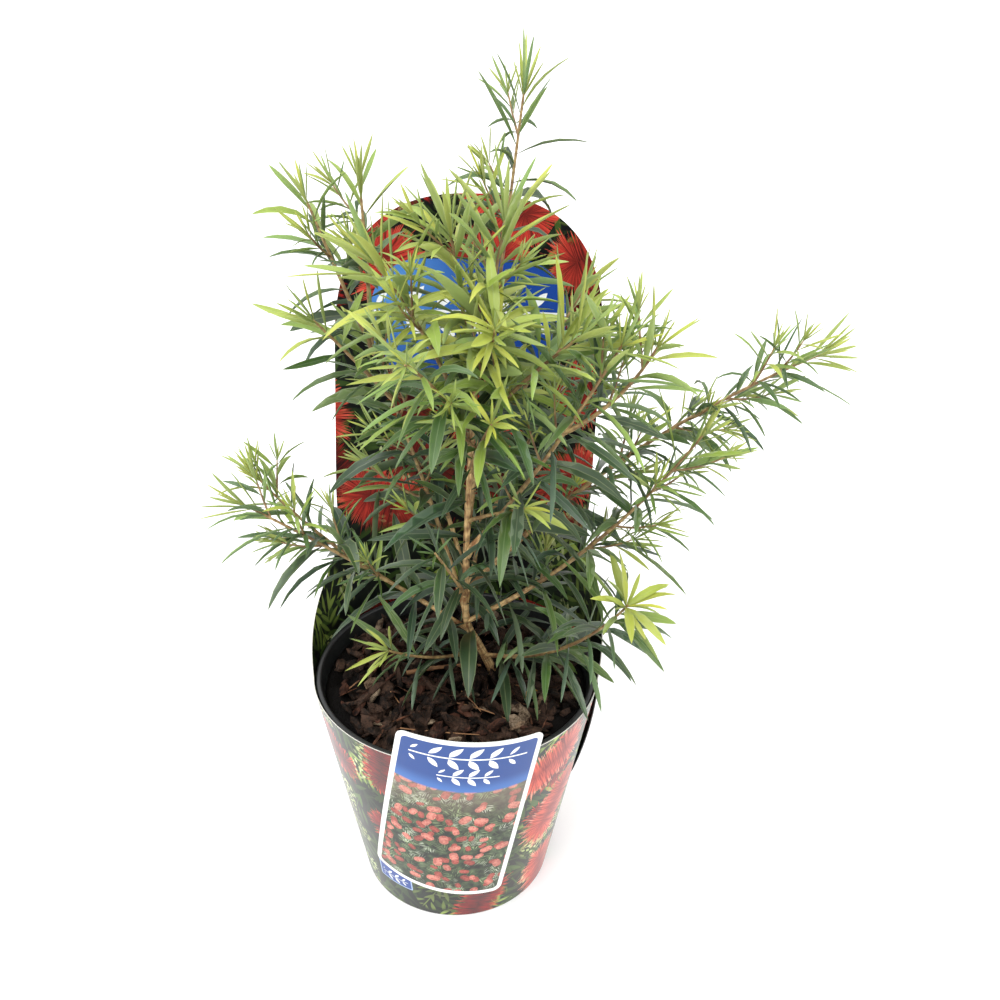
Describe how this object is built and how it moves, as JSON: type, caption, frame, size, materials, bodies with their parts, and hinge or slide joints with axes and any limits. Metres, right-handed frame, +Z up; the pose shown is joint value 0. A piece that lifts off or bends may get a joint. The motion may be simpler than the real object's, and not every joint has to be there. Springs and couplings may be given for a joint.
{
  "type": "potted bottlebrush plant",
  "caption": "Young potted bottlebrush shrub with arching leafy shoots, in a tapered nursery pot inside a printed card sleeve with a tall back panel and a front label.",
  "frame": {"origin": "middle of the flat underside of the pot", "axes": "+Z up along the pot's axis; the front label faces -Y and the tall back panel stands at +Y"},
  "size_m": [0.3445, 0.2289, 0.493],
  "materials": {
    "pot_plastic": "satin",
    "bark_mulch": "matte",
    "printed_card": "gloss",
    "label_card": "gloss",
    "bark": "matte",
    "mature_leaves": "satin",
    "young_leaves": "satin"
  },
  "bodies": {
    "root": {"pot": "pot_plastic", "soil": "bark_mulch", "sleeve_wrap": "printed_card", "sleeve_back_panel": "printed_card", "sleeve_lap": "printed_card", "front_label": "label_card", "trunk": "bark", "left_upright_bough": "bark", "right_upright_bough": "bark", "right_far_bough": "bark", "right_low_bough": "bark", "left_low_bough": "bark", "front_right_bough": "bark", "front_left_bough": "bark", "back_top_bough": "bark", "right_back_bough": "bark", "back_left_bough": "bark", "back_right_bough": "bark", "back_low_bough": "bark", "front_low_bough": "bark", "leader_foliage": "young_leaves", "left_upright_foliage": "mature_leaves", "right_upright_foliage": "mature_leaves", "right_far_foliage": "mature_leaves", "right_low_foliage": "mature_leaves", "left_low_foliage": "mature_leaves", "front_right_foliage": "mature_leaves", "front_left_foliage": "young_leaves", "back_top_foliage": "mature_leaves", "centre_back_left_foliage": "young_leaves", "centre_back_right_foliage": "young_leaves", "centre_left_foliage": "young_leaves", "front_high_foliage": "young_leaves", "centre_right_foliage": "young_leaves", "right_back_foliage": "mature_leaves", "front_star_foliage": "young_leaves", "right_star_foliage": "young_leaves", "back_left_foliage": "mature_leaves", "back_right_foliage": "mature_leaves", "back_low_foliage": "mature_leaves", "front_low_foliage": "young_leaves"}
  },
  "joints": []
}
